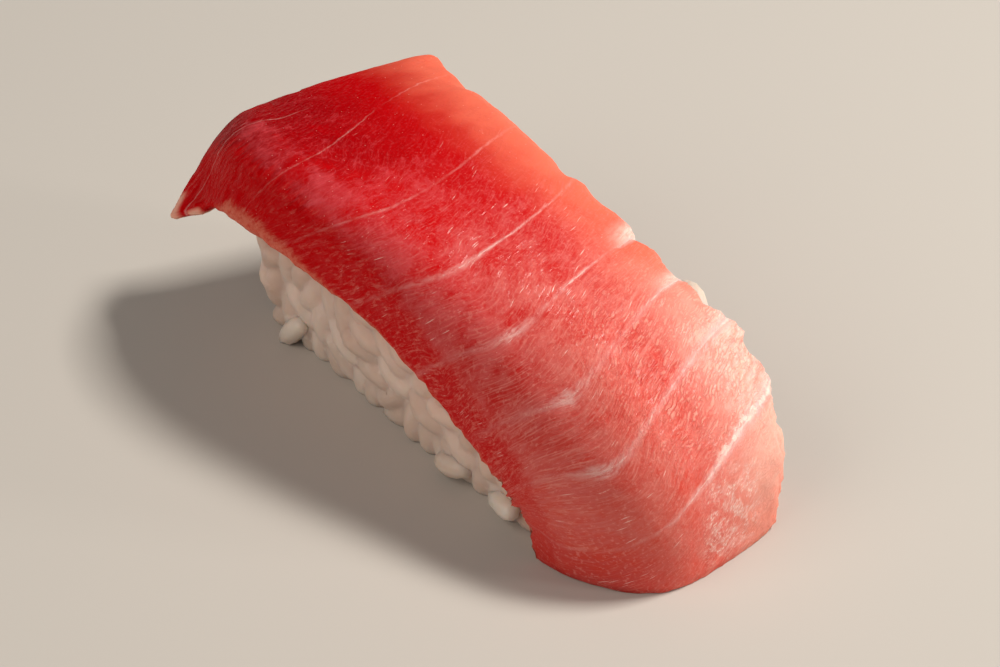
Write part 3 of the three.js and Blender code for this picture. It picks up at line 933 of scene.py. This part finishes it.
class NIGIRI_OT_rice_core(bpy.types.Operator):
    """Presses the inner mass of the rice, which fills the gaps between the grains"""

    bl_idname = "nigiri.rice_core"
    bl_label = "Rice core"

    def execute(self, context):
        rice = context.scene.nigiri_rice
        bpy.ops.object.select_all(action="DESELECT")
        bpy.ops.mesh.primitive_cylinder_add(vertices=120, radius=1, depth=2, end_fill_type="TRIFAN")
        core = start_piece("rice_core")
        subdivide_along(core, 2, 23)
        point = coordinates(core.data)
        height = (point[:, 2] + 1) / 2 * BED_HEIGHT
        reach = np.hypot(point[:, 0], point[:, 1])
        run = np.arctan2(point[:, 1], point[:, 0]) / (2 * np.pi) * PLAN_LENGTH
        place, _ = bed_side(run, height, CORE_INSET * rice.grain_width / MM)
        middle = np.array([(BED_FOLDED_END + BED_FREE_END) / 2, 0])
        place[:, :2] = middle + (place[:, :2] - middle) * reach[:, None]
        top = under_slice(bpy.data.objects["tuna_belly_slice"], place) - CORE_GAP
        top = np.where(np.isfinite(top), top, BARE_CORE_HEIGHT)
        place[:, 2] = np.clip(place[:, 2], 0, np.maximum(top, 0))
        place_vertices(core.data, place * MM)

        # The starch between the grains: the core and a copy of the bed's grains under one smoothed skin.
        grains = bpy.data.objects["rice_grains"]
        pick(grains)
        bpy.ops.object.duplicate()
        edit_chosen("VERT", context.object.data.vertices, read_attribute(grains.data, "loose") > 0.5)
        bpy.ops.mesh.delete(type="VERT")
        bpy.ops.object.mode_set(mode="OBJECT")
        core.select_set(True)
        context.view_layer.objects.active = core
        bpy.ops.object.join()
        skin = core.modifiers.new("skin", "REMESH")
        skin.mode, skin.voxel_size = "VOXEL", STARCH_PITCH * MM
        soft = core.modifiers.new("soft", "SMOOTH")
        soft.factor, soft.iterations = 0.5, STARCH_SMOOTHINGS
        swell = core.modifiers.new("swell", "DISPLACE")
        swell.mid_level, swell.strength = 0, STARCH_SWELL * MM
        for modifier in ("skin", "soft", "swell"):
            bpy.ops.object.modifier_apply(modifier=modifier)
        place = coordinates(core.data)
        place[:, 2] = np.maximum(place[:, 2], 0)
        place_vertices(core.data, place)

        # Each place on the skin has the tone of the grain under it.
        tones = read_attribute(grains.data, "tone")
        tree = kdtree.KDTree(len(tones))
        for index, spot in enumerate(coordinates(grains.data).tolist()):
            tree.insert(spot, index)
        tree.balance()
        give_attribute(core.data, "tone", tones[[tree.find(spot)[1] for spot in place.tolist()]])
        give_painted_bounce(core.data, place)
        finish_piece(core, cooked_rice("cooked_rice_starch", context.scene.nigiri_colours), "rice_bed")
        return {"FINISHED"}


class NIGIRI_OT_rice_grains(bpy.types.Operator):
    """Presses cooked grains all over the bed, close together and half sunk in it"""

    bl_idname = "nigiri.rice_grains"
    bl_label = "Rice grains"

    def execute(self, context):
        rice = context.scene.nigiri_rice
        length, width = rice.grain_length / MM, rice.grain_width / MM
        bpy.ops.object.select_all(action="DESELECT")
        bpy.ops.mesh.primitive_uv_sphere_add(segments=8, ring_count=6, radius=0.5)
        model = bpy.context.object
        shape = coordinates(model.data)
        across = 2 * np.hypot(shape[:, 0], shape[:, 1])
        shape[:, :2] *= np.maximum(across, 0.01)[:, None] ** -GRAIN_BLUNTNESS
        faces = [list(face.vertices) for face in model.data.polygons]
        bpy.ops.object.delete()

        random = np.random.default_rng(rice.seed)
        spots = []
        for layer in GRAIN_LAYERS:
            centre, turn = spread_grains(random, rice.grains, *GRAIN_HEIGHTS, length, width * GRAIN_PACKING)
            spots.append(np.column_stack([centre, np.full(rice.grains, layer * width), turn]))
        run, height, inset, turn = np.concatenate([*spots, LOOSE_GRAINS]).T
        loose = np.arange(len(run)) >= len(run) - len(LOOSE_GRAINS)
        place, out = bed_side(run, height, inset)
        roof = under_slice(bpy.data.objects["tuna_belly_slice"], place)
        up = np.array([0.0, 0.0, 1.0])
        way = np.cos(turn)[:, None] * np.cross(up, out) + np.sin(turn)[:, None] * up
        bare = ~(np.isfinite(roof) & (place[:, 2] > roof + 0.3))

        # One more grain sticks to the far side of the slice, just under its edge.
        half_width = context.scene.nigiri_slice.half_width / MM
        ends = drape(np.array([[FAR_GRAIN_AT[0] + d, 1, FAR_GRAIN_AT[1]] for d in (-1, 1)]), half_width)
        side = np.array([0.0, 1.0, 0.0])
        place = np.concatenate([place[bare], [ends.mean(0) + FAR_GRAIN_OUT * side]])
        way = np.concatenate([way[bare], [ends[1] - ends[0]]])
        out = np.concatenate([out[bare], [side]])
        loose = np.append(loose[bare], True)

        # Each grain's own size, lean, roll and bend, and how glassy it is.
        count = len(place)
        size = random.uniform(*GRAIN_SIZES, (count, 3)) * (width, width * GRAIN_FLATNESS, length)
        way += random.normal(0, GRAIN_LEAN, (count, 1)) * out
        way /= np.linalg.norm(way, axis=1)[:, None]
        thick = np.cross(way, out)
        thick /= np.linalg.norm(thick, axis=1)[:, None]
        deep = np.cross(way, thick)
        roll = random.uniform(0, 2 * np.pi, (count, 1))
        bend = random.uniform(*GRAIN_BENDS, (count, 1))
        tones = np.repeat(random.uniform(0, 1, count), len(shape))
        body = shape[None] * size[:, None]
        body[..., 0] += bend * ((2 * shape[:, 2]) ** 2 - 0.4)
        points = (
            place[:, None]
            + body[..., 0:1] * (np.cos(roll) * thick + np.sin(roll) * deep)[:, None]
            + body[..., 1:2] * (np.cos(roll) * deep - np.sin(roll) * thick)[:, None]
            + body[..., 2:3] * way[:, None]
        ).reshape(-1, 3)
        points[:, 2] = np.maximum(points[:, 2], 0)
        mesh = bpy.data.meshes.new("rice_grains")
        copies = range(0, len(points), len(shape))
        mesh.from_pydata((points * MM).tolist(), [], [[v + first for v in f] for first in copies for f in faces])
        mesh.update()
        grains = bpy.data.objects.new("rice_grains", mesh)
        context.scene.collection.objects.link(grains)
        give_attribute(mesh, "tone", tones)
        loose = np.repeat(loose, len(shape))
        give_attribute(mesh, "loose", loose)
        give_painted_bounce(mesh, points * MM, 1 - loose)
        finish_piece(grains, cooked_rice("cooked_rice", context.scene.nigiri_colours), "rice_bed")
        return {"FINISHED"}


class NIGIRI_OT_stage(bpy.types.Operator):
    """Lays the floor and sets the studio lights and the camera"""

    bl_idname = "nigiri.stage"
    bl_label = "Stage"

    def execute(self, context):
        bpy.ops.object.select_all(action="DESELECT")
        bpy.ops.mesh.primitive_plane_add(size=6)
        floor = start_piece("studio_floor")
        floor.data.materials.append(studio_paper(context.scene.nigiri_colours.paper))

        world = bpy.data.worlds.new("studio_air")
        world.use_nodes = True
        air = world.node_tree.nodes["Background"].inputs
        air["Color"].default_value = (*linear(AIR_TINT), 1)
        air["Strength"].default_value = AIR_STRENGTH
        context.scene.world = world
        context.scene.view_settings.view_transform = "Standard"

        target = Vector((0, 0, AIM_HEIGHT * MM))
        for name, azimuth, elevation, distance, size, power, tint in LAMPS:
            bpy.ops.object.light_add(type="AREA")
            lamp = bpy.context.object
            lamp.name = lamp.data.name = name
            lamp.data.size = size
            lamp.data.energy = power
            lamp.data.color = linear(tint)
            self.aim(lamp, target, azimuth, elevation, distance)

        bpy.ops.object.camera_add()
        camera = bpy.context.object
        camera.name = camera.data.name = "camera"
        camera.data.lens = CAMERA_LENS
        camera.data.sensor_width = CAMERA_SENSOR
        self.aim(camera, target, CAMERA_AZIMUTH, CAMERA_ELEVATION, CAMERA_DISTANCE * MM)
        context.scene.camera = camera
        return {"FINISHED"}

    @staticmethod
    def aim(thing, target, azimuth, elevation, distance):
        """Puts a lamp or the camera that far from the target, azimuth degrees round from +X, looking at it."""
        a, e = np.radians((azimuth, elevation))
        way = Vector((np.cos(a) * np.cos(e), np.sin(a) * np.cos(e), np.sin(e)))
        thing.location = target + distance * way
        thing.rotation_euler = way.to_track_quat("Z", "Y").to_euler()


class NIGIRI_PT_panel(bpy.types.Panel):
    bl_label = "Nigiri"
    bl_idname = "NIGIRI_PT_panel"
    bl_space_type = "VIEW_3D"
    bl_region_type = "UI"
    bl_category = "Nigiri"

    def draw(self, context):
        for group in ("nigiri_slice", "nigiri_rice", "nigiri_colours"):
            settings = getattr(context.scene, group)
            box = self.layout.box()
            for name in settings.bl_rna.properties.keys():
                if name not in ("rna_type", "name"):
                    box.prop(settings, name)
        for operator in OPERATORS:
            self.layout.operator(operator.bl_idname)


OPERATORS = (NIGIRI_OT_tuna_slice, NIGIRI_OT_rice_grains, NIGIRI_OT_rice_core, NIGIRI_OT_stage)
CLASSES = (NigiriSliceSettings, NigiriRiceSettings, NigiriColours, *OPERATORS, NIGIRI_PT_panel)


def register():
    for cls in CLASSES:
        bpy.utils.register_class(cls)
    bpy.types.Scene.nigiri_slice = PointerProperty(type=NigiriSliceSettings)
    bpy.types.Scene.nigiri_rice = PointerProperty(type=NigiriRiceSettings)
    bpy.types.Scene.nigiri_colours = PointerProperty(type=NigiriColours)


def unregister():
    del bpy.types.Scene.nigiri_slice, bpy.types.Scene.nigiri_rice, bpy.types.Scene.nigiri_colours
    for cls in reversed(CLASSES):
        bpy.utils.unregister_class(cls)


def main():
    register()
    bpy.ops.nigiri.tuna_slice()
    bpy.ops.nigiri.rice_grains()
    bpy.ops.nigiri.rice_core()
    bpy.ops.nigiri.stage()


if __name__ == "__main__":
    main()
